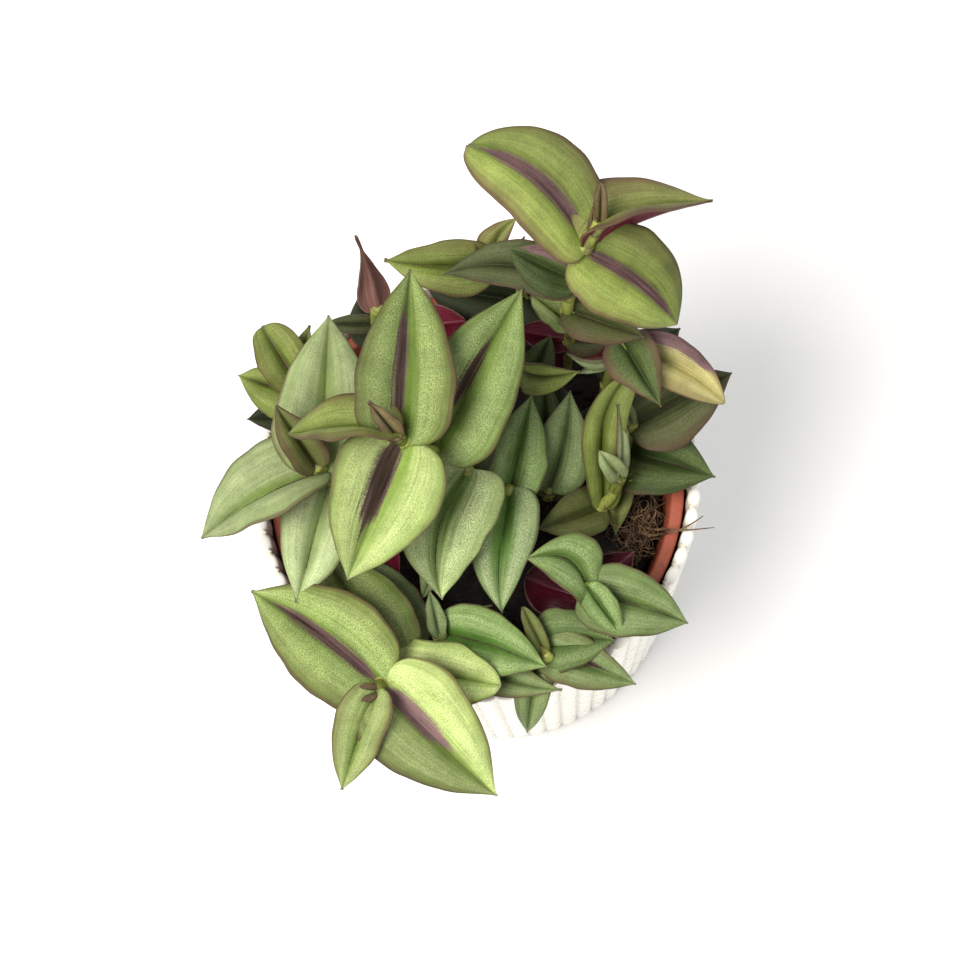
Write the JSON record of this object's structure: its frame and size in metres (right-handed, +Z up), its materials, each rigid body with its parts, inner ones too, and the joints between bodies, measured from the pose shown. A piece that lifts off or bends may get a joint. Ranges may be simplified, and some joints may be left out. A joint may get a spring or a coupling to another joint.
{
  "type": "potted tradescantia house plant",
  "caption": "Inch plant with broad striped pointed leaves on leafy stems, in a terracotta-coloured nursery pot standing in a white ribbed cover pot.",
  "frame": {"origin": "centre of the cover pot's flat foot, on the surface that it stands on", "axes": "+Z up along the pot's axis, -Y towards the viewer, +X to the viewer's right"},
  "size_m": [0.1419, 0.1425, 0.187],
  "materials": {
    "white_glaze": "satin",
    "terracotta_plastic": "matte",
    "potting_soil": "matte",
    "striped_leaf": "satin",
    "dry_root": "matte"
  },
  "bodies": {
    "root": {"cover_pot": "white_glaze", "nursery_pot": "terracotta_plastic", "soil": "potting_soil", "leafy_stem_tall_back_right": "striped_leaf", "leafy_stem_back": "striped_leaf", "leafy_stem_back_left": "striped_leaf", "leafy_stem_centre_left": "striped_leaf", "leafy_stem_left": "striped_leaf", "leafy_stem_back_left_low": "striped_leaf", "leafy_stem_right_back": "striped_leaf", "leafy_stem_right": "striped_leaf", "leafy_stem_right_centre": "striped_leaf", "leafy_stem_centre_right": "striped_leaf", "leafy_stem_centre": "striped_leaf", "leafy_stem_middle": "striped_leaf", "leafy_stem_back_centre": "striped_leaf", "leafy_stem_right_front": "striped_leaf", "leafy_stem_front": "striped_leaf", "leafy_stem_front_right": "striped_leaf", "leafy_stem_front_left": "striped_leaf", "root_tuft": "dry_root"}
  },
  "joints": []
}
